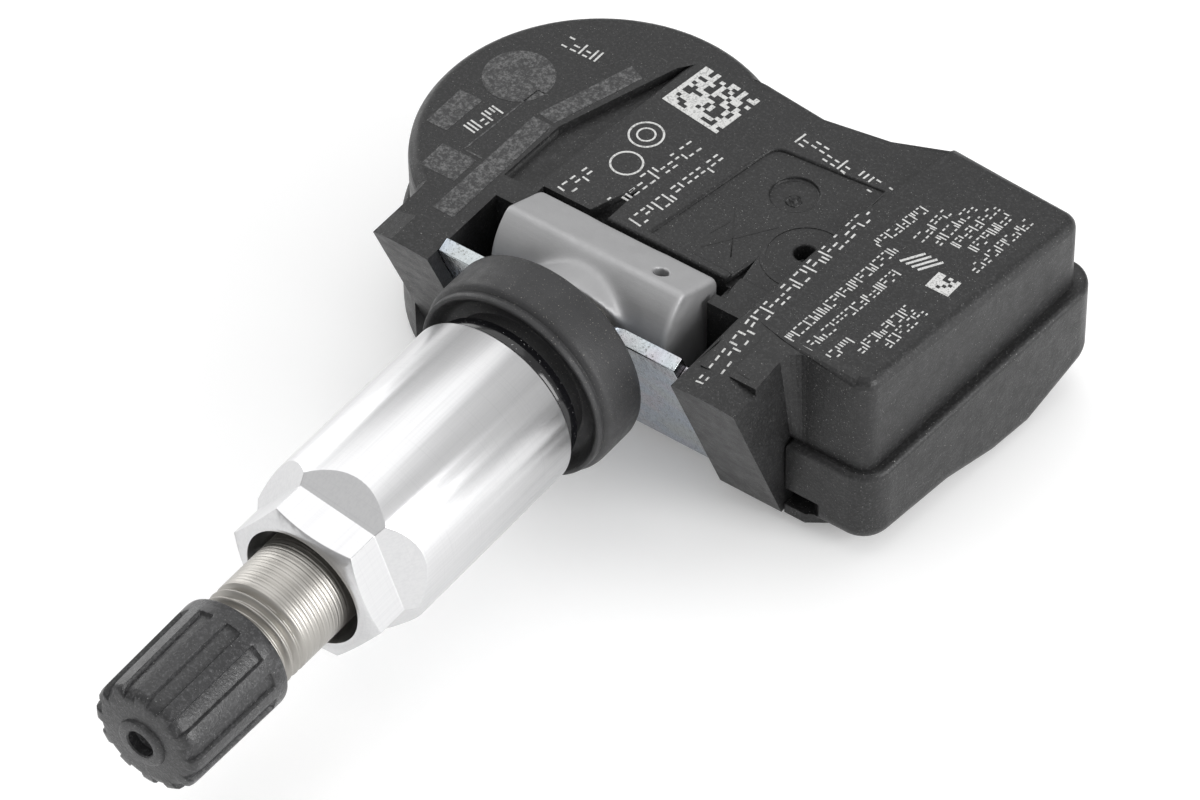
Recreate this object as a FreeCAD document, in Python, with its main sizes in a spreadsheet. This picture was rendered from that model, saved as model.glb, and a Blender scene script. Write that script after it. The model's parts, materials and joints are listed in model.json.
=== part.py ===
import FreeCAD, Part
import os
import re
import Sketcher

# Wheel sensor with a metal clamp-in valve, in millimetres.
# Origin: centre of the wheel's valve hole, in the plane where the rubber grommet seats on
# the inside of the rim. +Y runs along the valve from its cap to the housing, +Z is up, out
# of the housing's top face, and +X points to the box-shaped end of the housing.

DRIVING = {
    # valve thread and stem (8V1, 32 threads per inch)
    "thread_radius": 3.85, "thread_root": 3.42, "thread_pitch": 0.794,
    "stem_tip": -38.0, "stem_tail": 13.0, "stem_neck_radius": 3.3,
    "core_bore": 2.67, "stem_bore": 2.05, "air_bore": 1.2,
    "thread_first": -37.1, "thread_count": 13,
    "stem_chamfer": 0.5, "core_bore_depth": 5.0, "stem_bore_depth": 20.0, "bore_taper": 1.0,
    # valve core, measured from the tip of the stem
    "core_rim": 0.5, "core_taper_start": 4.9, "core_taper_end": 6.1, "core_waist": 11.0,
    "core_foot": 15.8, "core_inner_radius": 1.3, "core_waist_radius": 1.4,
    "core_guide_radius": 0.5, "core_spring_seat": 9.5, "gasket_end": 12.9,
    "pin_tip": 0.15, "pin_radius": 0.45, "pin_collar": 4.6, "pin_collar_end": 5.0,
    "pin_collar_radius": 1.0, "pin_end": 17.4, "seal_radius": 1.45, "seal_end": 16.8,
    "spring_radius": 0.8, "spring_wire": 0.13, "spring_pitch": 0.72, "spring_start": 5.2,
    "spring_length": 4.0,
    # cap
    "cap_nose": -40.0, "cap_rear": -30.2, "cap_rear_radius": 4.5, "cap_root_rear": 4.3,
    "cap_root_front": 4.15, "cap_bore": 3.92, "cap_floor": -38.9, "cap_collar_length": 1.3,
    "cap_rib_height": 0.22,
    "cap_rib_count": 12, "cap_rib_width": 1.0, "cap_gate_radius": 1.9, "cap_gate_hole": 1.05,
    "cap_gate_height": 0.3, "cap_gate_depth": 0.6, "cap_seal_bore": 1.6,
    # sleeve nut
    "nut_radius": 6.93, "nut_flats": 11.0, "nut_turned": 9.2, "nut_mouth": -23.17, "nut_rear": -1.87,
    "nut_mouth_bore": 4.72, "nut_mouth_depth": 4.0, "nut_hex_length": 3.1,
    "nut_run_out": 2.6, "nut_run_out_rise": 1.7,
    "nut_thread_bore": 3.9, "nut_counterbore": 4.4, "nut_counterbore_start": -9.0,
    "shear_ring_length": 1.1, "running_gap": 0.05,
    # thrust washer
    "washer_radius": 6.22, "washer_bore": 4.1, "washer_rear": -0.4, "washer_bush_front": -5.5,
    # grommet
    "grommet_radius": 8.09, "grommet_rear": 4.66, "grommet_neck_radius": 5.5,
    "grommet_neck_front": -0.3, "grommet_recess": 1.09, "grommet_recess_radius": 6.54,
    "grommet_lip_inner": 7.36, "grommet_lip_outer": 7.66, "grommet_edge": 0.4,
    # valve head, a cylinder across the housing's fork with a flat on top
    "head_radius": 4.7, "head_length": 15.3, "head_axis_along": 12.5, "head_axis_up": 1.3,
    "head_flat": 2.85, "head_flat_angle": 21.7, "head_back": 14.2,
    "head_boss_wide": 5.3, "head_boss_narrow": 4.1, "head_boss_front": 5.0,
    "head_boss_back": 11.0,
    "head_hole_radius": 0.6, "head_hole_across": 4.74, "head_hole_along": 11.37,
    "head_hole_floor": 3.2, "head_clearance": 0.6,
    # retaining plate, square to a line that leans by plate_angle
    "plate_angle": 22.0, "plate_front": 6.12, "plate_thickness": 1.15, "plate_half_width": 12.4,
    "plate_top": 0.95, "plate_shoulder": -0.3, "plate_shoulder_half": 10.2,
    "plate_bottom": -14.6, "plate_slot_half": 3.75, "plate_slot_floor": -7.4,
    "plate_chamfer": 1.6, "plate_gap": 0.05,
    # housing
    "deck_top": 3.1, "box_top": 4.4, "box_top_back": 3.5, "parting": -4.5, "parting_rise": 2.3,
    "base_bottom": -11.4, "wall": 1.6, "ceiling": 1.4, "cavity_floor": -9.8,
    "lobe_radius": 13.6, "lobe_across": -7.7, "lobe_along": 20.8, "flange": 0.8,
    "flange_back": 1.2,
    "lug_front": 4.05, "lug_left_outer": -15.1, "lug_left_inner": -10.3,
    "lug_right_inner": 10.8, "lug_right_outer": 16.1, "lug_back": 12.2, "lug_top": 3.4,
    "lug_ridge_left": -13.3, "lug_ridge_right": 13.9, "lug_crown": 3.6, "lug_crown_back": 6.8,
    "pocket_half": 8.1, "pocket_back": 14.9, "pocket_floor": -5.5,
    "box_front": 11.0, "box_right_front": 22.6, "box_right_back": 25.0, "box_back": 34.2,
    "box_left": 12.2, "box_left_back": 13.7, "waist_across": 4.0, "waist_along": 32.4,
    "waist_left_across": -1.2, "waist_left_along": 32.95,
    "waist_right_across": 9.2, "waist_right_along": 33.3,
    "base_front": 10.3, "base_rise_start": 28.0, "base_rise": 3.9, "housing_end": 38.0,
    "foot_bottom": -12.3, "foot_start": 19.0, "foot_full": 24.0, "base_edge": 1.6,
    "base_corner": 2.4,
    "box_corner": 1.3, "head_edge": 1.2,
    "port_across": 10.7, "port_along": 20.4, "port_radius": 0.8,
    "gate_across": 6.7, "gate_along": 24.8, "gate_radius": 1.8, "gate_depth": 0.3,
    "plateau_depth": 0.25, "groove_depth": 0.8,
    # inside
    "battery_radius": 8.0, "battery_height": 3.2, "battery_across": -10.0,
    "battery_along": 24.2, "battery_low": -4.9, "cavity_gap": 0.6, "tab_thickness": 0.2,
    "board_low": -6.6, "board_thickness": 1.0, "board_gap": 0.4, "board_left": -8.0,
    "tab_half_width": 1.2, "tab_positive_across": -0.6, "tab_negative_across": -3.2,
    "sensor_size": 5.0, "sensor_height": 1.8, "port_seal_radius": 2.0,
    "controller_size": 5.0, "controller_height": 0.9, "controller_across": 3.6,
    "controller_along": 26.4, "crystal_across": 3.2, "crystal_along": 20.4,
    "crystal_length": 3.2, "crystal_width": 2.5, "crystal_height": 0.8,
    "coil_across": 17.4, "coil_along": 28.6, "coil_length": 7.6, "coil_width": 2.4,
    "winding_length": 5.2, "winding_thickness": 0.6,
    "antenna_left": 13.6, "antenna_right": 20.4, "antenna_strip": 0.9,
    "antenna_thickness": 0.4, "antenna_height": 4.6,
    "smd_length": 1.2, "smd_width": 0.8, "smd_height": 0.6,
    "cavity_front": 16.4, "cavity_back": 31.2, "cavity_right": 21.0, "cavity_right_back": 23.2,
}

doc = FreeCAD.newDocument("wheel_sensor")
sizes = doc.addObject("Spreadsheet::Sheet", "sizes")
for row, (alias, value) in enumerate(DRIVING.items(), start=1):
    sizes.set("A%d" % row, alias)
    sizes.set("B%d" % row, str(value))
    sizes.setAlias("B%d" % row, alias)
doc.recompute()

nodes = {}
ALL_ACROSS = ("-30", "30")


def bound(text):
    """The expression for the sheet: each alias in the text gets the sheet's name."""
    return re.sub(r"[a-z_]+", lambda m: "sizes." + m[0] if m[0] in DRIVING else m[0], text)


def measure(text):
    return float(sizes.evalExpression(bound(text)))


# ---------------------------------------------------------------- PartDesign helpers

def new_body(label):
    body = doc.addObject("PartDesign::Body", label)
    body.Label = label
    nodes[label] = body
    return body


def origin_feature(body, role):
    return next(item for item in body.Origin.OriginFeatures if item.Role == role)


def new_sketch(body, plane, offset="0"):
    sketch = body.newObject("Sketcher::SketchObject", body.Label + "_sketch")
    sketch.AttachmentSupport = [(origin_feature(body, plane), "")]
    sketch.MapMode = "FlatFace"
    sketch.setExpression("AttachmentOffset.Base.z", bound(offset))
    return sketch


def pin_point(sketch, geometry, position, across, along):
    for kind, text in (("DistanceX", across), ("DistanceY", along)):
        constraint = Sketcher.Constraint(kind, -1, 1, geometry, position, measure(text))
        index = sketch.addConstraint(constraint)
        sketch.setExpression("Constraints[%d]" % index, bound(text))


def add_polygon(sketch, points):
    corners = [FreeCAD.Vector(measure(a), measure(b), 0) for a, b in points]
    first = sketch.GeometryCount
    count = len(corners)
    for i in range(count):
        sketch.addGeometry(Part.LineSegment(corners[i], corners[(i + 1) % count]), False)
    for i in range(count):
        following = first + (i + 1) % count
        sketch.addConstraint(Sketcher.Constraint("Coincident", first + i, 2, following, 1))
    for i, (across, along) in enumerate(points):
        pin_point(sketch, first + i, 1, across, along)


def add_circle(sketch, across, along, radius):
    centre = FreeCAD.Vector(measure(across), measure(along), 0)
    circle = Part.Circle(centre, FreeCAD.Vector(0, 0, 1), measure(radius))
    index = sketch.addGeometry(circle, False)
    pin_point(sketch, index, 3, across, along)
    size = sketch.addConstraint(Sketcher.Constraint("Radius", index, measure(radius)))
    sketch.setExpression("Constraints[%d]" % size, bound(radius))


def revolve(label, profile):
    """A turned part: profile points are (radius, place along the valve's axis)."""
    body = new_body(label)
    sketch = new_sketch(body, "XY_Plane")
    add_polygon(sketch, profile)
    turned = body.newObject("PartDesign::Revolution", label + "_turned")
    turned.Profile = sketch
    turned.ReferenceAxis = (sketch, ["V_Axis"])
    turned.Angle = 360
    doc.recompute()
    return body


def pad(body, plane, low, high, points=None, circle=None):
    """Material from low to high along the plane's own normal."""
    sketch = new_sketch(body, plane, low)
    if points:
        add_polygon(sketch, points)
    else:
        add_circle(sketch, *circle)
    feature = body.newObject("PartDesign::Pad", body.Label + "_pad")
    feature.Profile = sketch
    feature.setExpression("Length", bound("(%s) - (%s)" % (high, low)))
    doc.recompute()
    return feature


def pocket(body, plane, low, high, points=None, circle=None):
    """A cut from low to high along the plane's own normal; it has to remove material."""
    before = body.Shape.Volume
    sketch = new_sketch(body, plane, low)
    if points:
        add_polygon(sketch, points)
    else:
        add_circle(sketch, *circle)
    feature = body.newObject("PartDesign::Pocket", body.Label + "_pocket")
    feature.Profile = sketch
    feature.Reversed = True
    feature.setExpression("Length", bound("(%s) - (%s)" % (high, low)))
    doc.recompute()
    if not body.Shape.Volume < before - 1e-4:
        raise RuntimeError("a pocket of %s cuts nothing" % body.Label)
    return feature


def fillet(body, radius, chosen):
    """Rounds the edges of the body that chosen(edge) picks."""
    tip = body.Tip
    names = ["Edge%d" % i for i, edge in enumerate(tip.Shape.Edges, 1) if chosen(edge)]
    if not names:
        raise RuntimeError("no edge to round on " + body.Label)
    feature = body.newObject("PartDesign::Fillet", body.Label + "_fillet")
    feature.Base = (tip, names)
    feature.setExpression("Radius", bound(radius))
    doc.recompute()
    if not feature.isValid():
        raise RuntimeError("a fillet of %s fails on %s" % (body.Label, ", ".join(names)))


# ---------------------------------------------------------------- Part helpers

def block(name, low, high):
    """A box between two corners, each given as three expressions."""
    item = doc.addObject("Part::Box", name)
    for field, a, b in zip(("Length", "Width", "Height"), low, high):
        item.setExpression(field, bound("(%s) - (%s)" % (b, a)))
    for field, a in zip("xyz", low):
        item.setExpression("Placement.Base." + field, bound(a))
    return item


def rod(name, radius, start, length, direction):
    """A cylinder from a start point along X, Y or Z."""
    item = doc.addObject("Part::Cylinder", name)
    item.setExpression("Radius", bound(radius))
    item.setExpression("Height", bound(length))
    turn = {"X": (0, 1, 0, 90), "Y": (1, 0, 0, -90), "Z": (0, 0, 1, 0)}[direction]
    item.Placement.Rotation = FreeCAD.Rotation(FreeCAD.Vector(*turn[:3]), turn[3])
    for field, text in zip("xyz", start):
        item.setExpression("Placement.Base." + field, bound(text))
    return item


def combine(kind, label, first, second):
    item = doc.addObject("Part::" + kind, label)
    item.Base = first
    item.Tool = second
    return item


def keep(label, item):
    item.Label = label
    nodes[label] = item


# ---------------------------------------------------------------- valve stem and its core

def make_stem():
    body = revolve("valve_stem", [
        ("core_bore", "stem_tip"), ("core_bore", "stem_tip + core_bore_depth"),
        ("stem_bore", "stem_tip + core_bore_depth + bore_taper"),
        ("stem_bore", "stem_tip + stem_bore_depth"),
        ("air_bore", "stem_tip + stem_bore_depth + bore_taper"), ("air_bore", "stem_tail"),
        ("stem_neck_radius", "stem_tail"), ("stem_neck_radius", "grommet_rear"),
        ("thread_radius", "grommet_rear"), ("thread_radius", "stem_tip + stem_chamfer"),
        ("thread_root", "stem_tip"),
    ])
    before = body.Shape.Volume
    sketch = new_sketch(body, "XY_Plane")
    add_polygon(sketch, [
        ("thread_root", "thread_first"), ("thread_radius + 0.1", "thread_first - 0.3"),
        ("thread_radius + 0.1", "thread_first + 0.3"),
    ])
    groove = body.newObject("PartDesign::Groove", "thread_groove")
    groove.Profile = sketch
    groove.ReferenceAxis = (sketch, ["V_Axis"])
    groove.Angle = 360
    doc.recompute()
    turns = body.newObject("PartDesign::LinearPattern", "thread_turns")
    turns.Originals = [groove]
    turns.Direction = (origin_feature(body, "Y_Axis"), [""])
    turns.setExpression("Length", bound("thread_pitch * (thread_count - 1)"))
    turns.setExpression("Occurrences", bound("thread_count"))
    body.Tip = turns
    doc.recompute()
    if not body.Shape.Volume < before:
        raise RuntimeError("the thread cuts nothing")


def in_stem(depth):
    return "stem_tip + " + depth


def make_core():
    """The core that screws into the stem, its spring-loaded pin and its two seals."""
    snug = "stem_bore - running_gap"
    revolve("core_barrel", [
        ("core_inner_radius", in_stem("core_rim")),
        ("core_inner_radius", in_stem("core_spring_seat")),
        ("core_guide_radius", in_stem("core_spring_seat")),
        ("core_guide_radius", in_stem("core_foot")),
        ("core_waist_radius", in_stem("core_foot")), ("core_waist_radius", in_stem("core_waist")),
        (snug, in_stem("core_waist")), (snug, in_stem("core_taper_end")),
        ("core_bore", in_stem("core_taper_start")), ("core_bore", in_stem("core_rim")),
    ])
    revolve("core_gasket", [
        ("core_waist_radius", in_stem("core_waist + 0.1")),
        ("stem_bore", in_stem("core_waist + 0.1")), ("stem_bore", in_stem("gasket_end")),
        ("core_waist_radius", in_stem("gasket_end + 0.5")),
    ])
    revolve("core_pin", [
        ("0", in_stem("pin_tip")), ("pin_radius - 0.1", in_stem("pin_tip")),
        ("pin_radius", in_stem("pin_tip + 0.15")), ("pin_radius", in_stem("pin_collar")),
        ("pin_collar_radius", in_stem("pin_collar")),
        ("pin_collar_radius", in_stem("pin_collar_end")),
        ("pin_radius", in_stem("pin_collar_end")), ("pin_radius", in_stem("pin_end")),
        ("0", in_stem("pin_end")),
    ])
    seal_start = in_stem("core_foot + running_gap")
    revolve("core_seal", [
        ("pin_radius", seal_start), ("seal_radius - 0.15", seal_start),
        ("seal_radius", in_stem("(core_foot + seal_end) / 2")),
        ("seal_radius - 0.15", in_stem("seal_end")), ("pin_radius", in_stem("seal_end")),
    ])
    path = doc.addObject("Part::Helix", "spring_path")
    path.setExpression("Pitch", bound("spring_pitch"))
    path.setExpression("Height", bound("spring_length"))
    path.setExpression("Radius", bound("spring_radius"))
    path.Placement = FreeCAD.Placement(
        FreeCAD.Vector(0, measure(in_stem("spring_start")), 0),
        FreeCAD.Rotation(FreeCAD.Vector(1, 0, 0), -90))
    section = doc.addObject("Part::Circle", "spring_section")
    section.setExpression("Radius", bound("spring_wire"))
    section.Placement = FreeCAD.Placement(
        FreeCAD.Vector(measure("spring_radius"), measure(in_stem("spring_start")), 0),
        FreeCAD.Rotation())
    spring = doc.addObject("Part::Sweep", "core_spring")
    spring.Sections = [section]
    spring.Spine = (path, [])
    spring.Solid = True
    spring.Frenet = True
    keep("core_spring", spring)


# ---------------------------------------------------------------- cap, nut and washer

def make_cap():
    body = revolve("valve_cap", [
        ("0", "cap_nose + cap_gate_depth"), ("cap_gate_hole", "cap_nose + cap_gate_depth"),
        ("cap_gate_hole", "cap_nose - cap_gate_height"),
        ("cap_gate_radius", "cap_nose - cap_gate_height"), ("cap_gate_radius", "cap_nose"),
        ("2.6", "cap_nose + 0.15"), ("3.7", "cap_nose + 0.5"),
        ("cap_root_front", "cap_nose + 1.0"),
        ("cap_root_rear", "cap_rear - cap_collar_length"),
        ("cap_rear_radius", "cap_rear - cap_collar_length + 0.3"),
        ("cap_rear_radius", "cap_rear - 0.2"), ("cap_rear_radius - 0.2", "cap_rear"),
        ("cap_bore", "cap_rear"), ("cap_bore", "cap_floor"), ("0", "cap_floor"),
    ])
    rib = pad(body, "YZ_Plane", "-cap_rib_width / 2", "cap_rib_width / 2", [
        ("cap_nose + 1.3", "cap_bore + 0.1"), ("cap_nose + 0.3", "3.4"),
        ("cap_nose + 0.3", "cap_root_front - 0.1"),
        ("cap_nose + 0.7", "cap_root_front + cap_rib_height"),
        ("cap_rear - cap_collar_length + 0.2", "cap_rear_radius - 0.02"),
        ("cap_rear - cap_collar_length + 0.2", "cap_bore + 0.1"),
    ])
    ribs = body.newObject("PartDesign::PolarPattern", "cap_ribs")
    ribs.Originals = [rib]
    ribs.Axis = (origin_feature(body, "Y_Axis"), [""])
    ribs.Angle = 360
    ribs.setExpression("Occurrences", bound("cap_rib_count"))
    body.Tip = ribs
    doc.recompute()
    revolve("cap_seal", [
        ("cap_seal_bore", "cap_floor + running_gap"),
        ("thread_radius - 0.1", "cap_floor + running_gap"),
        ("thread_radius - 0.1", "stem_tip - 0.1"), ("cap_seal_bore", "stem_tip - 0.1"),
    ])


def make_nut():
    ring_front = "nut_mouth + nut_mouth_depth"
    body = revolve("sleeve_nut", [
        ("nut_mouth_bore", "nut_mouth"), ("nut_mouth_bore", ring_front + "+ shear_ring_length"),
        ("nut_thread_bore", ring_front + "+ shear_ring_length"),
        ("nut_thread_bore", "nut_counterbore_start"),
        ("nut_counterbore", "nut_counterbore_start"), ("nut_counterbore", "nut_rear"),
        ("nut_radius - 0.25", "nut_rear"), ("nut_radius", "nut_rear - 0.25"),
        ("nut_radius", "nut_mouth + 0.8"), ("nut_mouth_bore + 0.3", "nut_mouth"),
    ])
    # six flats, each cut by a slab along the nut's front end
    slab = pocket(body, "YZ_Plane", "-nut_flats", "nut_flats", [
        ("nut_mouth - 1", "nut_flats / 2"), ("nut_mouth + nut_hex_length", "nut_flats / 2"),
        ("nut_mouth + nut_hex_length + nut_run_out", "nut_flats / 2 + nut_run_out_rise"),
        ("nut_mouth - 1", "nut_flats / 2 + nut_run_out_rise"),
    ])
    flats = body.newObject("PartDesign::PolarPattern", "nut_flats")
    flats.Originals = [slab]
    flats.Axis = (origin_feature(body, "Y_Axis"), [""])
    flats.Angle = 360
    flats.Occurrences = 6
    body.Tip = flats
    body.Placement.Rotation = FreeCAD.Rotation(FreeCAD.Vector(0, 1, 0), measure("nut_turned"))
    doc.recompute()
    revolve("nut_shear_ring", [
        ("thread_radius + 0.12", ring_front), ("nut_mouth_bore", ring_front),
        ("nut_mouth_bore", ring_front + "+ shear_ring_length"),
        ("thread_radius + 0.12", ring_front + "+ shear_ring_length"),
    ])
    revolve("thrust_washer", [
        ("washer_bore", "washer_bush_front"),
        ("nut_counterbore - running_gap", "washer_bush_front"),
        ("nut_counterbore - running_gap", "nut_rear + running_gap"),
        ("washer_radius", "nut_rear + running_gap"), ("washer_radius", "washer_rear"),
        ("washer_bore", "washer_rear"),
    ])


def make_grommet():
    revolve("rim_grommet", [
        ("thread_radius", "grommet_neck_front"),
        ("grommet_neck_radius", "grommet_neck_front"),
        ("grommet_neck_radius", "grommet_recess"), ("grommet_recess_radius", "grommet_recess"),
        ("grommet_lip_inner", "0"), ("grommet_lip_outer", "0"),
        ("grommet_lip_outer + 0.04", "0.5"), ("grommet_lip_outer + 0.14", "0.62"),
        ("grommet_radius - 0.15", "0.85"), ("grommet_radius", "1.3"),
        ("grommet_radius", "grommet_rear - grommet_edge"),
        ("grommet_radius - grommet_edge", "grommet_rear"), ("thread_radius", "grommet_rear"),
    ])


# ---------------------------------------------------------------- valve head

def along_x_at_back(edge):
    """Whether an edge runs across the head where its flat meets its back."""
    points = [vertex.Point for vertex in edge.Vertexes]
    if len(points) < 2 or abs(points[0].x - points[1].x) < measure("head_length") - 0.01:
        return False
    return all(abs(point.y - measure("head_back")) < 0.01 and point.z > 0 for point in points)


def make_head():
    reach = "20.0"
    barrel = rod("head_barrel", "head_radius",
                 ("-head_length / 2", "head_axis_along", "head_axis_up"), "head_length", "X")
    behind = block("head_behind", ("-head_length", "-" + reach, "-" + reach),
                   ("head_length", "head_back", reach))
    bar = combine("Common", "head_bar", barrel, behind)
    # everything under the sloping flat
    under = doc.addObject("Part::Box", "head_under_flat")
    under.setExpression("Length", bound("head_length * 2"))
    under.setExpression("Width", reach + "* 2")
    under.setExpression("Height", reach)
    tilt = FreeCAD.Rotation(FreeCAD.Vector(1, 0, 0), -measure("head_flat_angle"))
    centre = FreeCAD.Vector(0, measure("head_axis_along"), measure("head_axis_up"))
    corner = FreeCAD.Vector(-measure("head_length"), -float(reach),
                            measure("head_flat") - float(reach))
    under.Placement = FreeCAD.Placement(centre + tilt.multVec(corner), tilt)
    flatted = combine("Common", "head_flatted", bar, under)
    doc.recompute()
    rounded = doc.addObject("Part::Fillet", "head_rounded")
    rounded.Base = flatted
    back_edges = [index for index, edge in enumerate(flatted.Shape.Edges, 1)
                  if along_x_at_back(edge)]
    rounded.Edges = [(index, measure("head_edge"), measure("head_edge"))
                     for index in back_edges]
    # the boss carries the stem, narrows towards the bar and is trimmed parallel to the plate
    boss = doc.addObject("Part::Cone", "head_boss")
    boss.setExpression("Radius1", bound("head_boss_wide"))
    boss.setExpression("Radius2", bound("head_boss_narrow"))
    boss.setExpression("Height", bound("head_boss_back - head_boss_front"))
    boss.Placement = FreeCAD.Placement(
        FreeCAD.Vector(0, measure("head_boss_front"), 0),
        FreeCAD.Rotation(FreeCAD.Vector(1, 0, 0), -90))
    lean = FreeCAD.Rotation(FreeCAD.Vector(1, 0, 0), measure("plate_angle"))
    trim = doc.addObject("Part::Box", "boss_trim")
    trim.Length = trim.Width = trim.Height = float(reach) * 2
    face = measure("plate_front + plate_thickness + head_clearance")
    trim.Placement = FreeCAD.Placement(
        lean.multVec(FreeCAD.Vector(-float(reach), face, -float(reach))), lean)
    trimmed = combine("Common", "boss_trimmed", boss, trim)
    joined = combine("Fuse", "head_joined", rounded, trimmed)
    bore = rod("head_bore", "stem_neck_radius", ("0", "0", "0"), "stem_tail", "Y")
    drilled = combine("Cut", "head_drilled", joined, bore)
    air = rod("head_air_hole", "air_bore", ("0", "0", "0"), reach, "Y")
    aired = combine("Cut", "head_aired", drilled, air)
    mark = rod("head_mark_hole", "head_hole_radius",
               ("head_hole_across", "head_hole_along", "head_hole_floor"), "5.0", "Z")
    keep("valve_head", combine("Cut", "valve_head", aired, mark))


# ---------------------------------------------------------------- retaining plate

def make_plate():
    body = new_body("retaining_plate")
    inner = "plate_slot_half"
    # the XZ plane's own normal points to -Y
    pad(body, "XZ_Plane", "-plate_front - plate_thickness", "-plate_front", [
        ("-plate_half_width", "plate_shoulder"),
        ("-plate_half_width", "plate_bottom + plate_chamfer"),
        ("-plate_half_width + plate_chamfer", "plate_bottom"),
        ("plate_half_width - plate_chamfer", "plate_bottom"),
        ("plate_half_width", "plate_bottom + plate_chamfer"),
        ("plate_half_width", "plate_shoulder"), ("plate_shoulder_half", "plate_shoulder"),
        ("plate_shoulder_half", "plate_top"),
        (inner + " + 1.6", "plate_top"), (inner, "plate_top - 0.9"),
        (inner, "plate_slot_floor + 2.0"), (inner + " - 2.0", "plate_slot_floor"),
        ("-%s + 2.0" % inner, "plate_slot_floor"), ("-" + inner, "plate_slot_floor + 2.0"),
        ("-" + inner, "plate_top - 0.9"), ("-%s - 1.6" % inner, "plate_top"),
        ("-plate_shoulder_half", "plate_top"), ("-plate_shoulder_half", "plate_shoulder"),
    ])
    body.setExpression("Placement.Rotation.Angle", bound("plate_angle"))
    body.Placement.Rotation = FreeCAD.Rotation(FreeCAD.Vector(1, 0, 0), measure("plate_angle"))


# ---------------------------------------------------------------- housing

def leaning(front, up):
    """Where a point (front, up) of the plate's leaning frame lies in the YZ plane."""
    along = "(%s) * cos(plate_angle) - (%s) * sin(plate_angle)" % (front, up)
    height = "(%s) * sin(plate_angle) + (%s) * cos(plate_angle)" % (front, up)
    return along, height


def cavity(body, low, high):
    pocket(body, "XY_Plane", low, high, circle=(
        "battery_across", "battery_along", "battery_radius + cavity_gap"))
    pocket(body, "XY_Plane", low, high, [
        ("-8.4", "cavity_front"), ("cavity_right", "cavity_front"),
        ("cavity_right_back", "box_back - wall"), ("box_left_back", "box_back - wall"),
        ("8.5", "cavity_back"), ("-6.0", "cavity_back"),
    ])


def parting_height(along):
    return "parting + parting_rise * ((%s) - box_front) / (housing_end - box_front)" % along


def stands_at(edge, corners):
    """Whether an edge is upright and stands at one of the corners of the plan."""
    first, last = edge.Vertexes[0], edge.Vertexes[-1]
    if abs(first.X - last.X) > 0.01 or abs(first.Y - last.Y) > 0.01:
        return False
    return any(abs(first.X - measure(x)) < 0.01 and abs(first.Y - measure(y)) < 0.01
               for x, y in corners)


def low_outer_edge(edge):
    """Whether an edge is on the outline of the base's underside, right of the lugs."""
    middle = edge.valueAt((edge.FirstParameter + edge.LastParameter) / 2)
    points = [vertex.Point for vertex in edge.Vertexes] + [middle]
    if max(point.z for point in points) > measure("foot_bottom + base_rise"):
        return False
    return all(point.x > measure("lug_right_outer + 0.2") for point in points) and not all(
        abs(point.y - points[0].y) < 0.01 and point.y > measure("base_front + 1")
        for point in points)


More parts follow.
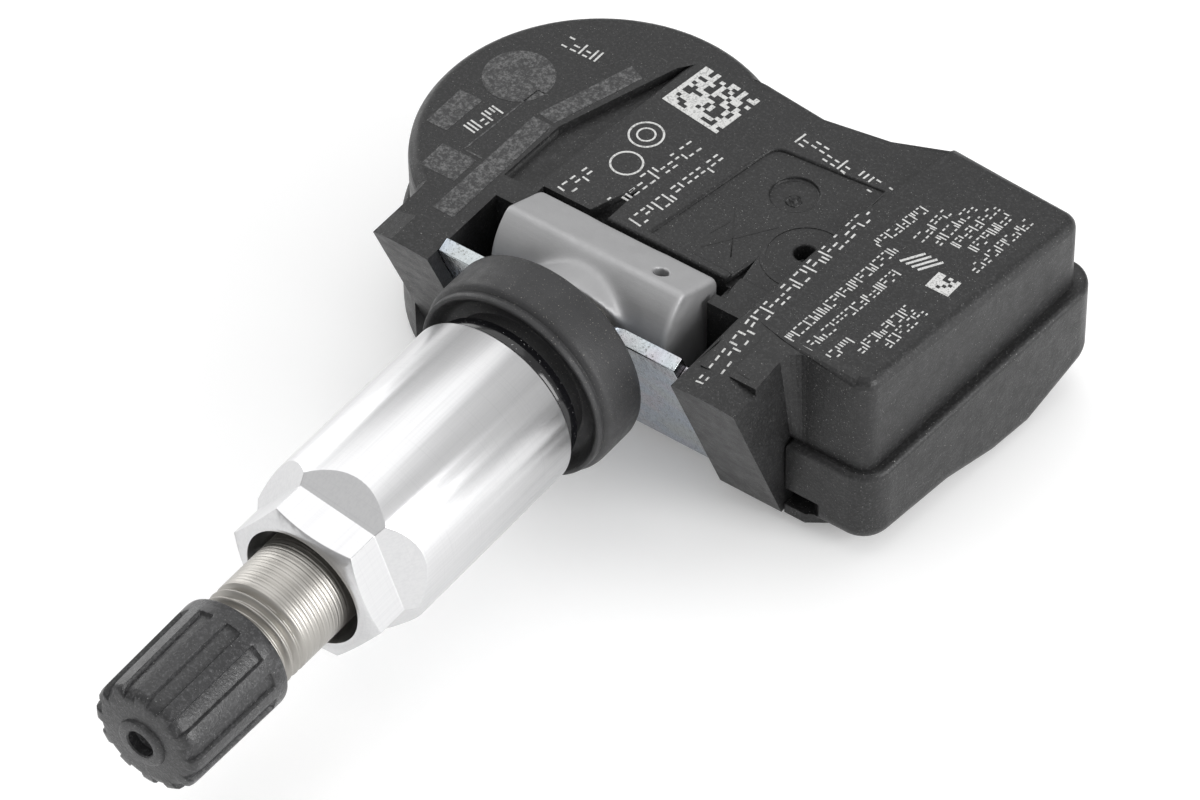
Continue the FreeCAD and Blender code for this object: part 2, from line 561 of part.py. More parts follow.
def make_cover():
    body = new_body("housing_cover")
    low = "base_bottom"
    pad(body, "XY_Plane", low, "deck_top", circle=("lobe_across", "lobe_along", "lobe_radius"))
    pad(body, "XY_Plane", low, "deck_top", [
        ("lug_left_outer", "lug_front"), ("lug_left_inner", "lug_front"),
        ("lug_left_inner", "lug_back"), ("-pocket_half", "lug_back"),
        ("-pocket_half", "pocket_back"), ("pocket_half", "pocket_back"),
        ("pocket_half", "lug_back"), ("lug_right_inner", "lug_back"),
        ("lug_right_inner", "lug_front"), ("lug_right_outer", "lug_front"),
        ("lug_right_outer", "box_front"), ("box_right_front", "box_front"),
        ("box_right_back", "box_back"), ("box_left_back", "box_back + 0.6"),
        ("waist_right_across", "waist_right_along"), ("waist_across", "waist_along"),
        ("waist_left_across", "waist_left_along"),
        ("lobe_across", "lobe_along + 9"), ("lug_left_outer", "lobe_along"),
    ])
    # the raised box, whose top falls a little towards the back
    pad(body, "XY_Plane", "0", "box_top", [
        ("box_left - 0.8", "box_front + 1.2"), ("lug_right_outer", "box_front"),
        ("box_right_front", "box_front"),
        ("box_right_back", "box_back"), ("box_left_back", "box_back + 0.6"),
        ("box_left + 0.7", "29.0"), ("box_left - 0.4", "24.8"),
    ])
    # the lugs' crowned tops, and the ramps from the right one up to the box
    for inner, ridge, outer in (("lug_left_inner - 0.05", "lug_ridge_left", "lug_left_outer"),
                                ("lug_right_inner + 0.05", "lug_ridge_right",
                                 "lug_right_outer")):
        pad(body, "XZ_Plane", "-lug_crown_back", "-lug_front", [
            (inner, "deck_top - 0.1"), (inner, "deck_top"), (ridge, "lug_crown"),
            (outer, "deck_top"), (outer, "deck_top - 0.1"),
        ])
    for left, right, front_top in (("box_left - 0.75", "lug_ridge_right", "deck_top + 0.25"),
                                   ("lug_ridge_right", "lug_right_outer", "lug_crown + 0.1")):
        pad(body, "YZ_Plane", left, right, [
            ("lug_crown_back", "deck_top - 0.1"), ("lug_crown_back", front_top),
            ("lug_back", "box_top"), ("lug_back", "deck_top - 0.1"),
        ])
    pocket(body, "YZ_Plane", *ALL_ACROSS, [
        ("box_front - 1", "box_top"), ("housing_end", "box_top_back"),
        ("housing_end", "box_top + 1"), ("box_front - 1", "box_top + 1"),
    ])
    corners = [("box_right_front", "box_front"), ("box_right_back", "box_back")]
    fillet(body, "box_corner", lambda edge: stands_at(edge, corners))
    # the fork, and the recess behind it where the valve's head sits
    pocket(body, "XY_Plane", "base_bottom - 1", "box_top", [
        ("lug_left_inner", "lug_front - 1"), ("lug_right_inner", "lug_front - 1"),
        ("lug_right_inner", "lug_back"), ("lug_left_inner", "lug_back"),
    ])
    pocket(body, "XY_Plane", "pocket_floor", "box_top", [
        ("-pocket_half", "lug_back - 1"), ("pocket_half", "lug_back - 1"),
        ("pocket_half", "pocket_back"), ("-pocket_half", "pocket_back"),
    ])
    # below the parting only the lugs go on down
    pocket(body, "YZ_Plane", *ALL_ACROSS, [
        ("lug_back", "base_bottom - 1"), ("housing_end", "base_bottom - 1"),
        ("housing_end", parting_height("housing_end")), ("lug_back", parting_height("lug_back")),
    ])
    for near, far in (("lug_right_outer", "box_right_back + 1"),
                      (ALL_ACROSS[0], "lug_left_outer")):
        pocket(body, "XY_Plane", "base_bottom - 1", "parting", [
            (near, "lug_front"), (far, "lug_front"), (far, "lug_back + 0.1"),
            (near, "lug_back + 0.1"),
        ])
    # the lugs' sloping front faces
    run = "(lug_top - base_bottom) * tan(plate_angle)"
    pocket(body, "YZ_Plane", *ALL_ACROSS, [
        ("lug_front - 2", "lug_top"), ("lug_front", "lug_top"),
        ("lug_front + " + run, "base_bottom"), ("lug_front + " + run, "base_bottom - 1"),
        ("lug_front - 2", "base_bottom - 1"),
    ])
    # slots for the retaining plate, closed at the top and open at the bottom
    slot_front = "plate_front - plate_gap"
    slot_back = "plate_front + plate_thickness + plate_gap"
    slot_top = "plate_shoulder + plate_gap"
    slot_end = "plate_bottom - 2"
    reach = "plate_half_width + plate_gap"
    pocket(body, "YZ_Plane", "-(%s)" % reach, reach, [
        leaning(slot_front, slot_top), leaning(slot_front, slot_end),
        leaning(slot_back, slot_end), leaning(slot_back, slot_top),
    ])
    cavity(body, "base_bottom", "ceiling")
    # surface features of the top: shallow plateau, grooves, gate mark and pressure port
    pocket(body, "XY_Plane", "deck_top - plateau_depth", "box_top", [
        ("0.8", "pocket_back + 0.8"), ("2.9", "27.8"), ("box_left - 0.4", "28.6"),
        ("box_left - 0.6", "20.5"), ("box_left - 0.75", "pocket_back + 0.8"),
    ])
    beside_lobe = [("-11.1", "14.2"), ("-10.9", "20.4"), ("-7.4", "31.0"), ("-8.6", "14.2")]
    behind_head = [("-4.0", "pocket_back - 0.5"), ("-2.5", "18.4"),
                   ("-2.6", "pocket_back - 0.5")]
    beside_head = [("7.4", "13.2"), ("8.2", "17.5"), ("8.9", "13.2")]
    for outline in (beside_lobe, behind_head, beside_head):
        pocket(body, "XY_Plane", "deck_top - groove_depth", "box_top", outline)
    pocket(body, "XY_Plane", "deck_top - plateau_depth - gate_depth", "box_top",
           circle=("gate_across", "gate_along", "gate_radius"))
    pocket(body, "XY_Plane", "0", "box_top", circle=("port_across", "port_along", "port_radius"))


def make_base():
    body = new_body("housing_base")
    low = "foot_bottom"
    high = "parting + parting_rise"
    pad(body, "XY_Plane", low, high, circle=(
        "lobe_across", "lobe_along", "lobe_radius + flange"))
    pad(body, "XY_Plane", low, high, [
        ("lobe_across", "lug_back + 0.1"), ("lug_right_outer + 0.1", "lug_back + 0.1"),
        ("lug_right_outer + 0.1", "base_front"), ("box_right_front + flange", "base_front"),
        ("box_right_back + flange_back", "box_back + flange_back"),
        ("box_left_back - 0.2", "box_back + flange_back + 0.4"),
        ("waist_right_across", "waist_right_along + flange"),
        ("waist_across", "waist_along + flange"),
        ("waist_left_across + 0.2", "waist_left_along + flange"),
        ("lobe_across", "lobe_along + 9"),
    ])
    pocket(body, "YZ_Plane", *ALL_ACROSS, [
        ("0", "parting"), ("box_front", "parting"),
        ("housing_end", parting_height("housing_end")), ("housing_end", "0"), ("0", "0"),
    ])
    # a low foot across the underside, which rises behind it
    pocket(body, "YZ_Plane", *ALL_ACROSS, [
        ("0", "base_bottom"), ("foot_start", "base_bottom"), ("foot_full", "foot_bottom"),
        ("foot_full", "foot_bottom - 1"), ("0", "foot_bottom - 1"),
    ])
    pocket(body, "YZ_Plane", *ALL_ACROSS, [
        ("base_rise_start", "foot_bottom"), ("housing_end", "foot_bottom + base_rise"),
        ("housing_end", "foot_bottom - 1"), ("base_rise_start", "foot_bottom - 1"),
    ])
    corners = [("box_right_front + flange", "base_front"),
               ("box_right_back + flange_back", "box_back + flange_back")]
    fillet(body, "base_corner", lambda edge: stands_at(edge, corners))
    fillet(body, "base_edge", lambda edge: low_outer_edge(edge))
    # room for the lugs and the fork
    pocket(body, "XY_Plane", "foot_bottom - 1", "0", [
        ("lug_left_outer - 0.1", "0"), ("lug_right_outer + 0.1", "0"),
        ("lug_right_outer + 0.1", "lug_back + 0.1"), ("lug_left_outer - 0.1", "lug_back + 0.1"),
    ])
    pocket(body, "XY_Plane", "pocket_floor", "0", [
        ("-pocket_half", "lug_back - 1"), ("pocket_half", "lug_back - 1"),
        ("pocket_half", "pocket_back"), ("-pocket_half", "pocket_back"),
    ])
    # a toe beside the right lug, with a hollow above it
    toe_top = "base_bottom + 0.8"
    pad(body, "XY_Plane", "base_bottom - 0.1", toe_top, [
        ("lug_right_outer + 0.1", "base_front - 0.1"), ("18.0", "base_front - 0.1"),
        ("19.6", "base_front + 1.0"), ("lug_right_outer + 0.1", "lug_back"),
    ])
    pocket(body, "XY_Plane", toe_top, "base_bottom + 2.3", [
        ("lug_right_outer", "base_front - 0.1"), ("lug_right_outer", "base_front + 1.8"),
        ("17.3", "base_front + 1.8"), ("19.2", "base_front - 0.1"),
    ])
    cavity(body, "cavity_floor", "0")


# ---------------------------------------------------------------- electronics

BOARD_TOP = "board_low + board_thickness"
SMD_PLACES = [(14.6, 20.6), (16.6, 20.6), (18.6, 20.6), (14.6, 23.2), (16.6, 23.2),
              (18.6, 23.2), (7.4, 27.2), (7.4, 29.2), (10.2, 27.2), (10.2, 29.2)]


def on_board(name, across, along, length, width, height):
    """A box that stands on the circuit board, centred over a point."""
    return block(name, ("%s - %s / 2" % (across, length), "%s - %s / 2" % (along, width),
                        BOARD_TOP),
                 ("%s + %s / 2" % (across, length), "%s + %s / 2" % (along, width),
                  "%s + %s" % (BOARD_TOP, height)))


def make_battery_tab(label, under, over, foot_across):
    """A flat strap on the cell and a leg down to the circuit board."""
    near, far = "battery_along - tab_half_width", "battery_along + tab_half_width"
    outer = foot_across + " + tab_thickness"
    strap = block(label + "_strap", ("battery_across", near, under), (outer, far, over))
    leg = block(label + "_leg", (foot_across, near, BOARD_TOP), (outer, far, over))
    keep(label, combine("Fuse", label, strap, leg))


def make_electronics():
    back = "box_back - wall - board_gap"
    body = new_body("circuit_board")
    pad(body, "XY_Plane", "board_low", BOARD_TOP, [
        ("board_left", "cavity_front + board_gap"),
        ("cavity_right - board_gap", "cavity_front + board_gap"),
        ("cavity_right_back - 0.5", back), ("box_left_back + 0.2", back),
        ("8.5", "cavity_back - board_gap"), ("-5.5", "cavity_back - board_gap"),
    ])
    keep("battery_cell", rod("battery_cell", "battery_radius",
                             ("battery_across", "battery_along", "battery_low"),
                             "battery_height", "Z"))
    battery_top = "battery_low + battery_height"
    make_battery_tab("battery_tab_positive", battery_top, battery_top + " + tab_thickness",
                     "tab_positive_across")
    make_battery_tab("battery_tab_negative", "battery_low - tab_thickness", "battery_low",
                     "tab_negative_across")

    for label, size in (
            ("sensor_chip", ("port_across", "port_along", "sensor_size", "sensor_size",
                             "sensor_height")),
            ("controller_chip", ("controller_across", "controller_along", "controller_size",
                                 "controller_size", "controller_height")),
            ("crystal", ("crystal_across", "crystal_along", "crystal_length",
                         "crystal_width", "crystal_height")),
            ("lf_coil_core", ("coil_across", "coil_along", "coil_length", "coil_width",
                              "coil_width"))):
        keep(label, on_board(label, *size))

    seal_low = BOARD_TOP + " + sensor_height"
    sleeve = rod("port_seal_outside", "port_seal_radius", ("port_across", "port_along", seal_low),
                 "ceiling - (%s)" % seal_low, "Z")
    hole = rod("port_seal_hole", "port_radius", ("port_across", "port_along", "-6.0"), "10.0", "Z")
    keep("port_seal", combine("Cut", "port_seal", sleeve, hole))

    winding = on_board("winding_outside", "coil_across", "coil_along", "winding_length",
                       "(coil_width + winding_thickness * 2)", "coil_width + winding_thickness")
    window = on_board("winding_window", "coil_across", "coil_along", "coil_length",
                      "coil_width", "coil_width")
    keep("lf_coil_winding", combine("Cut", "lf_coil_winding", winding, window))

    loop = block("antenna_outside", ("antenna_left", "cavity_front + 1.2", BOARD_TOP),
                 ("antenna_right", "cavity_front + 1.2 + antenna_thickness",
                  BOARD_TOP + " + antenna_height"))
    inside = block("antenna_window",
                   ("antenna_left + antenna_strip", "cavity_front + 1", BOARD_TOP),
                   ("antenna_right - antenna_strip", "cavity_front + 3",
                    BOARD_TOP + " + antenna_height - antenna_strip"))
    keep("rf_antenna", combine("Cut", "rf_antenna", loop, inside))

    group = doc.addObject("Part::Compound", "smd_components")
    group.Links = [on_board("smd_%d" % number, str(across), str(along), "smd_length",
                            "smd_width", "smd_height")
                   for number, (across, along) in enumerate(SMD_PLACES)]
    keep("smd_components", group)


make_stem()
make_core()
make_cap()
make_nut()
make_grommet()
make_head()
make_plate()
make_cover()
make_base()
make_electronics()
doc.recompute()

for item in doc.Objects:
    if "Invalid" in item.State or "Error" in item.State:
        raise RuntimeError("%s failed: %s" % (item.Label, item.State))

os.makedirs("parts", exist_ok=True)
for label, item in nodes.items():
    if item.Shape.isNull() or not item.Shape.isValid():
        raise RuntimeError("%s has no valid shape" % label)
    item.Shape.exportStep("parts/%s.step" % label)
    print("%-22s %9.2f mm3  %d solid(s)" % (label, item.Shape.Volume, len(item.Shape.Solids)))
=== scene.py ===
import json
import math
import random

import bmesh
import bpy
from mathutils import Euler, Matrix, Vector
from mathutils.bvhtree import BVHTree


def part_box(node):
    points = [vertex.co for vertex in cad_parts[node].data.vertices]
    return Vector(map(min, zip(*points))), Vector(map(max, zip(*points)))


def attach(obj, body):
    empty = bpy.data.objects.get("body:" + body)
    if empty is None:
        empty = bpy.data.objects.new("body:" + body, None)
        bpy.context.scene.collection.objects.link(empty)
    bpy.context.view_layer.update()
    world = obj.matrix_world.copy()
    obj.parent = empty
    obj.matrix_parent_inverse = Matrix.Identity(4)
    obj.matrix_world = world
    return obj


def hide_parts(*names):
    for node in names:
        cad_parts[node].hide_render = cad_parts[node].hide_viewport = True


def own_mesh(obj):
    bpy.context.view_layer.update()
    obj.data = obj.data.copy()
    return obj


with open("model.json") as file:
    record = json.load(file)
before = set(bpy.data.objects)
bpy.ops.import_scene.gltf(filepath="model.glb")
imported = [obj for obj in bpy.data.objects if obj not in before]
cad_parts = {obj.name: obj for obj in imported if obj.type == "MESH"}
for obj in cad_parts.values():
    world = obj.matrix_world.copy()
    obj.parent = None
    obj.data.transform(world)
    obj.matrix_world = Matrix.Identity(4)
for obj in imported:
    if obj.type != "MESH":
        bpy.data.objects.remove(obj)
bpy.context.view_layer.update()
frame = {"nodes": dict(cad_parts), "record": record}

# Visual model of a wheel sensor with a clamp-in valve. The row frame's +Y runs along the
# valve from its cap to the housing, +Z is up and +X points to the box-shaped end. Lengths
# in this file are millimetres, and MM turns them into Blender's metres.
MM = 0.001
NODES = frame["nodes"]


def node_box(name):
    """Lowest and highest corner of a CAD node, in millimetres."""
    low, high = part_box(name)
    return Vector(low) / MM, Vector(high) / MM


# ---------------------------------------------------------------- materials

# Sockets of the colour Mix node, which share their names with its other kinds.
MIX_FACTOR, MIX_UNDER, MIX_OVER, MIX_RESULT = 0, 6, 7, 2
SPECK_EDGE = 0.04


class Surface:
    """A Principled material with object-space textures scaled in millimetres."""

    def __init__(self, name, color, roughness, metallic=0.0, **inputs):
        self.material = bpy.data.materials.new(name)
        self.material.use_nodes = True
        self.tree = self.material.node_tree
        self.shader = self.tree.nodes["Principled BSDF"]
        self.set("Base Color", (*color, 1.0))
        self.set("Roughness", roughness)
        self.set("Metallic", metallic)
        for name, value in inputs.items():
            self.set(name.replace("_", " "), value)
        self.place = self.add("ShaderNodeTexCoord").outputs["Object"]
        self.height = None

    def set(self, field, value):
        self.shader.inputs[field].default_value = value

    def add(self, kind, **fields):
        node = self.tree.nodes.new(kind)
        for field, value in fields.items():
            setattr(node, field, value)
        return node

    def link(self, source, target):
        self.tree.links.new(source, target)

    def noise(self, size, detail=2.0, roughness=0.5, stretch=(1, 1, 1)):
        """Noise whose features are about size millimetres, stretched along the axes."""
        mapping = self.add("ShaderNodeMapping")
        mapping.inputs["Scale"].default_value = [1 / (size * MM * s) for s in stretch]
        self.link(self.place, mapping.inputs["Vector"])
        texture = self.add("ShaderNodeTexNoise")
        texture.inputs["Scale"].default_value = 1.0
        texture.inputs["Detail"].default_value = detail
        texture.inputs["Roughness"].default_value = roughness
        self.link(mapping.outputs["Vector"], texture.inputs["Vector"])
        return texture.outputs["Fac"]

    def radial_noise(self, size, across, detail=2.0):
        """Noise that changes fast along the valve's axis and slowly round it."""
        return self.noise(size, detail, stretch=(across / size, 1, across / size))

    def spread(self, source, low, high, start=0.0, end=1.0):
        """Maps a texture's low to high onto start to end, clamped."""
        node = self.add("ShaderNodeMapRange")
        node.inputs["From Min"].default_value = low
        node.inputs["From Max"].default_value = high
        node.inputs["To Min"].default_value = start
        node.inputs["To Max"].default_value = end
        self.link(source, node.inputs["Value"])
        return node.outputs["Result"]

    def tint(self, mask, color):
        """Mixes a colour over the base colour where the mask is 1."""
        mix = self.add("ShaderNodeMix", data_type="RGBA")
        base = self.shader.inputs["Base Color"]
        if base.is_linked:
            self.link(base.links[0].from_socket, mix.inputs[MIX_UNDER])
        else:
            mix.inputs[MIX_UNDER].default_value = base.default_value
        mix.inputs[MIX_OVER].default_value = (*color, 1.0)
        self.link(mask, mix.inputs[MIX_FACTOR])
        self.link(mix.outputs[MIX_RESULT], base)

    def vary_roughness(self, mask, low, high):
        """Lets the roughness wander from low to high with a texture."""
        self.link(self.spread(mask, 0.3, 0.7, low, high), self.shader.inputs["Roughness"])

    def bump(self, source, height):
        """Adds a bump of that height in millimetres."""
        node = self.add("ShaderNodeBump")
        node.inputs["Distance"].default_value = height * MM
        self.link(source, node.inputs["Height"])
        if self.height:
            self.link(self.height, node.inputs["Normal"])
        self.height = node.outputs["Normal"]
        self.link(self.height, self.shader.inputs["Normal"])

    def specks(self, size, share, color):
        """Scattered specks of dust: the share is how high the noise has to reach."""
        dots = self.noise(size, detail=0.0)
        self.tint(self.spread(dots, share, share + SPECK_EDGE), color)


def moulded_plastic(name, color, roughness=0.48, dust=(0.3, 0.3, 0.29)):
    surface = Surface(name, color, roughness, Specular_IOR_Level=0.38)
    mottle = surface.noise(3.5, 4.0, 0.6)
    surface.tint(surface.spread(mottle, 0.35, 0.75, 0.0, 0.4), [c * 1.5 for c in color])
    grain = surface.noise(0.22, 3.0, 0.7)
    surface.tint(surface.spread(grain, 0.5, 0.7, 0.0, 0.8), [c * 3.5 for c in color])
    surface.specks(0.08, 0.8, dust)
    surface.vary_roughness(surface.noise(1.1, 3.0), roughness - 0.06, roughness + 0.08)
    surface.bump(grain, 0.035)
    surface.bump(surface.noise(0.8, 2.0), 0.025)
    return surface.material


def cast_head():
    surface = Surface("cast_head", (0.4, 0.4, 0.405), 0.5, 0.5)
    grain = surface.noise(0.12, 3.0, 0.6)
    surface.tint(surface.spread(surface.noise(2.0, 3.0), 0.4, 0.7, 0.0, 0.35),
                 (0.33, 0.33, 0.335))
    surface.vary_roughness(surface.noise(0.6, 3.0), 0.5, 0.62)
    surface.bump(grain, 0.012)
    return surface.material


def turned_aluminium():
    surface = Surface("turned_aluminium", (0.66, 0.66, 0.665), 0.3, 1.0)
    lines = surface.radial_noise(0.08, 8.0, 2.0)
    streaks = surface.noise(0.16, 2.0, stretch=(1, 90, 1))
    surface.tint(surface.spread(streaks, 0.4, 0.7, 0.0, 0.6), (0.6, 0.6, 0.61))
    surface.tint(surface.spread(lines, 0.55, 0.75, 0.0, 0.4), (0.56, 0.56, 0.57))
    surface.vary_roughness(streaks, 0.28, 0.32)
    surface.bump(lines, 0.0012)
    return surface.material


def nickel_stem():
    surface = Surface("nickel_stem", (0.42, 0.405, 0.38), 0.4, 1.0)
    lines = surface.radial_noise(0.05, 6.0, 3.0)
    surface.tint(surface.spread(surface.radial_noise(0.4, 5.0), 0.35, 0.7, 0.0, 0.5),
                 (0.34, 0.325, 0.3))
    surface.vary_roughness(lines, 0.36, 0.48)
    surface.bump(lines, 0.004)
    return surface.material


def zinc_plate():
    surface = Surface("zinc_plate", (0.42, 0.45, 0.46), 0.2, 1.0)
    shear = surface.noise(0.3, 3.0, stretch=(0.7, 3.0, 3.0))
    hue = surface.noise(4.0, 1.0)
    surface.tint(surface.spread(hue, 0.35, 0.6, 0.0, 0.5), (0.36, 0.42, 0.54))
    surface.tint(surface.spread(surface.noise(2.6, 1.0), 0.5, 0.75, 0.0, 0.5),
                 (0.5, 0.4, 0.44))
    pits = surface.noise(0.22, 3.0, 0.7)
    surface.tint(surface.spread(pits, 0.55, 0.68, 0.0, 0.8), (0.12, 0.12, 0.11))
    surface.vary_roughness(shear, 0.14, 0.34)
    surface.bump(pits, 0.01)
    return surface.material


def grommet_rubber():
    surface = Surface("grommet_rubber", (0.026, 0.026, 0.027), 0.5, Specular_IOR_Level=0.4)
    surface.tint(surface.spread(surface.noise(2.0, 4.0), 0.35, 0.75, 0.0, 0.5),
                 (0.045, 0.045, 0.047))
    surface.specks(0.08, 0.78, (0.22, 0.21, 0.19))
    surface.vary_roughness(surface.noise(0.7, 3.0), 0.42, 0.58)
    surface.bump(surface.noise(0.14, 3.0, 0.65), 0.03)
    return surface.material


def polished_washer():
    surface = Surface("polished_washer", (0.006, 0.006, 0.007), 0.13)
    surface.specks(0.12, 0.79, (0.25, 0.25, 0.25))
    surface.bump(surface.radial_noise(0.2, 6.0), 0.004)
    return surface.material


def laser_mark():
    surface = Surface("laser_mark", (0.62, 0.62, 0.61), 0.75)
    surface.tint(surface.spread(surface.noise(0.16, 3.0, 0.7), 0.5, 0.62, 0.0, 0.75),
                 (0.2, 0.2, 0.2))
    surface.bump(surface.noise(0.1, 3.0), 0.015)
    return surface.material


def etched_patch():
    surface = Surface("etched_patch", (0.03, 0.03, 0.031), 0.6)
    surface.tint(surface.spread(surface.noise(0.3, 4.0, 0.75), 0.45, 0.65, 0.0, 0.8),
                 (0.17, 0.17, 0.17))
    surface.bump(surface.noise(0.4, 4.0, 0.7), 0.12)
    return surface.material


def plain_metal(name, color, roughness):
    surface = Surface(name, color, roughness, 1.0)
    surface.vary_roughness(surface.noise(0.4, 3.0), roughness - 0.05, roughness + 0.08)
    surface.bump(surface.noise(0.15, 2.0), 0.006)
    return surface.material


def plain_polymer(name, color, roughness):
    surface = Surface(name, color, roughness)
    surface.vary_roughness(surface.noise(0.5, 3.0), roughness - 0.05, roughness + 0.1)
    surface.bump(surface.noise(0.2, 2.0), 0.01)
    return surface.material


HOUSING_COLOR = (0.013, 0.013, 0.0133)
LOOKS = {
    "housing_plastic": moulded_plastic("housing_grain", HOUSING_COLOR, 0.4),
    "cap_plastic": moulded_plastic("cap_grain", (0.027, 0.027, 0.028), 0.3),
    "head_metal": cast_head(),
    "nut_metal": turned_aluminium(),
    "stem_metal": nickel_stem(),
    "plate_steel": zinc_plate(),
    "seal_rubber": grommet_rubber(),
    "washer_plastic": polished_washer(),
    "ring_plastic": plain_polymer("natural_nylon", (0.7, 0.7, 0.66), 0.5),
    "core_brass": plain_metal("core_brass_turned", (0.72, 0.5, 0.22), 0.3),
    "spring_steel": plain_metal("spring_wire", (0.6, 0.6, 0.6), 0.3),
    "board": plain_polymer("solder_mask", (0.012, 0.11, 0.045), 0.35),
    "chip_plastic": plain_polymer("chip_compound", (0.03, 0.03, 0.032), 0.55),
    "cell_steel": plain_metal("cell_can", (0.68, 0.68, 0.69), 0.24),
    "tin_steel": plain_metal("tinned_strip", (0.7, 0.7, 0.67), 0.32),
    "ferrite": plain_polymer("sintered_ferrite", (0.045, 0.042, 0.042), 0.6),
    "copper_wire": plain_metal("enamelled_copper", (0.6, 0.24, 0.1), 0.35),
    "gel_silicone": plain_polymer("port_gel", (0.32, 0.32, 0.32), 0.4),
}
MARK_LOOK = laser_mark()
PATCH_LOOK = etched_patch()
SCRATCH_LOOK = plain_polymer("scratched_plastic", (0.018, 0.018, 0.018), 0.7)


# ---------------------------------------------------------------- CAD nodes that stay

def soften(name, width, segments, angle):
    """Rounds a CAD node's edges with modifiers: its own mesh stays as it is."""
    item = NODES[name]
    weld = item.modifiers.new("weld", "WELD")
    weld.merge_threshold = WELD_GAP * MM
    flat = item.modifiers.new("flat", "DECIMATE")
    flat.decimate_type = "DISSOLVE"
    flat.angle_limit = math.radians(1.0)
    bevel = item.modifiers.new("bevel", "BEVEL")
    bevel.width = width * MM
    bevel.segments = segments
    bevel.limit_method = "ANGLE"
    bevel.angle_limit = math.radians(angle)
    bevel.use_clamp_overlap = True
    bevel.harden_normals = True


def dress_cad():
    slots = {entry["node"]: entry["material_slot"] for entry in frame["record"]["subparts"]}
    for name, item in NODES.items():
        look = LOOKS[slots[name]]
        for slot in item.material_slots:
            slot.material = look
    soften("sleeve_nut", 0.06, 2, 12.0)
    soften("thrust_washer", 0.15, 2, 25.0)


# ---------------------------------------------------------------- moulded and cast pieces

WELD_GAP, TRIM_GAP = 0.002, 0.0005
FLAT_ANGLE, SMOOTH_ANGLE, CRISP_ANGLE = 0.7, 38.0, 4.0
CLAMP_UNDER = 0.2


def rounded_copy(name, node, body, slot, roundings, crisp=None):
    """A copy of a CAD node's mesh with rounded edges, which stands for the node.

    Each rounding is (radius, segments, least angle, test of an edge's two ends). Small
    radii are clamped where edges crowd. Edges that crisp picks stay sharp even where
    they are shallow."""
    work = bmesh.new()
    work.from_mesh(NODES[node].data)
    bmesh.ops.remove_doubles(work, verts=work.verts, dist=WELD_GAP * MM)
    bmesh.ops.dissolve_limit(work, angle_limit=math.radians(FLAT_ANGLE), verts=work.verts,
                             edges=work.edges)
    for radius, segments, angle, chosen in roundings:
        edges = [edge for edge in work.edges if edge.is_manifold
                 and edge.calc_face_angle(0) > math.radians(angle)
                 and chosen(edge.verts[0].co / MM, edge.verts[1].co / MM)]
        if edges:
            bmesh.ops.bevel(work, geom=edges, offset=radius * MM, offset_type="OFFSET",
                            segments=segments, profile=0.5, affect="EDGES",
                            clamp_overlap=radius < CLAMP_UNDER)
    bmesh.ops.remove_doubles(work, verts=work.verts, dist=TRIM_GAP * MM)
    for face in work.faces:
        face.smooth = True
        face.material_index = 0
    mesh = bpy.data.meshes.new(name)
    work.to_mesh(mesh)
    work.free()
    item = bpy.data.objects.new(name, mesh)
    bpy.context.scene.collection.objects.link(item)
    mesh.materials.append(LOOKS[slot])
    mesh.set_sharp_from_angle(angle=math.radians(SMOOTH_ANGLE))
    if crisp:
        sharpen(mesh, crisp)
    item.modifiers.new("weighted", "WEIGHTED_NORMAL").keep_sharp = True
    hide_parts(node)
    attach(item, body)
    return item


def sharpen(mesh, crisp):
    """Marks the shallow edges that crisp picks as sharp."""
    work = bmesh.new()
    work.from_mesh(mesh)
    for edge in work.edges:
        if (edge.is_manifold and edge.calc_face_angle(0) > math.radians(CRISP_ANGLE)
                and crisp(edge.verts[0].co / MM, edge.verts[1].co / MM)):
            edge.smooth = False
    work.to_mesh(mesh)
    work.free()


# Places on the housing, along X, Y or Z. The tests below pick edges by where they lie.
DECK_TOP = 3.1
LOBE_CENTRE, LOBE_RADIUS = Vector((-7.7, 20.8)), 13.6
BOX_FRONT, BOX_SLOPE_START = 11.0, 10.0
BOX_TOP, BOX_SLOPE = 4.4, 0.9 / 28.0
LUG_BACK = 12.3
NEAR, NEARER = 0.03, 0.01


def box_top(along):
    """Height of the box's sloping top."""
    return BOX_TOP - BOX_SLOPE * (along - BOX_SLOPE_START)


def ends(test):
    """A test that holds when both ends of an edge pass."""
    return lambda first, second: test(first) and test(second)


def on_box_top(point):
    return point.y > BOX_FRONT - 0.1 and abs(point.z - box_top(point.y)) < NEAR


def on_deck(point):
    return abs(point.z - DECK_TOP) < NEARER


def from_above(point, x, y):
    """A point's distance from an upright axis."""
    return (Vector((point.x, point.y)) - Vector((x, y))).length


def on_box_left(point):
    return on_box_top(point) and point.x < 13.2 and point.y < 34.0


def on_lobe_rim(point):
    return on_deck(point) and abs(from_above(point, *LOBE_CENTRE) - LOBE_RADIUS) < NEAR


def on_back_rim(point):
    return on_deck(point) and point.y > 28.0 and point.x > -6.0


def on_groove(point):
    """Whether a point is on the right-hand rim of the long groove beside the lobe."""
    return on_deck(point) and point.y > 14.0 and (
        -8.8 < point.x < -8.4 and point.y < 14.4 or -7.5 < point.x < -7.3 and point.y > 30.8)


def on_plateau(point):
    """Whether a point is on the rim of the shallow plateau round the gate and the port."""
    return on_deck(point) and 0.7 < point.x < 11.9 and 15.6 < point.y < 28.7


def at_plateau_corner(point):
    return from_above(point, 2.9, 27.8) < 0.02


def on_dish(point):
    return abs(from_above(point, 6.7, 24.8) - 1.8) < NEAR


def on_port(point):
    return abs(from_above(point, 10.7, 20.4) - 0.8) < NEAR and point.z > 2.5


def on_notch(point):
    """Whether a point is on the rim of one of the two short grooves behind the head."""
    return point.z > 2.8 and 14.3 < point.y < 18.5 and (
        -4.1 < point.x < -2.4 or 7.2 < point.x < 8.8)


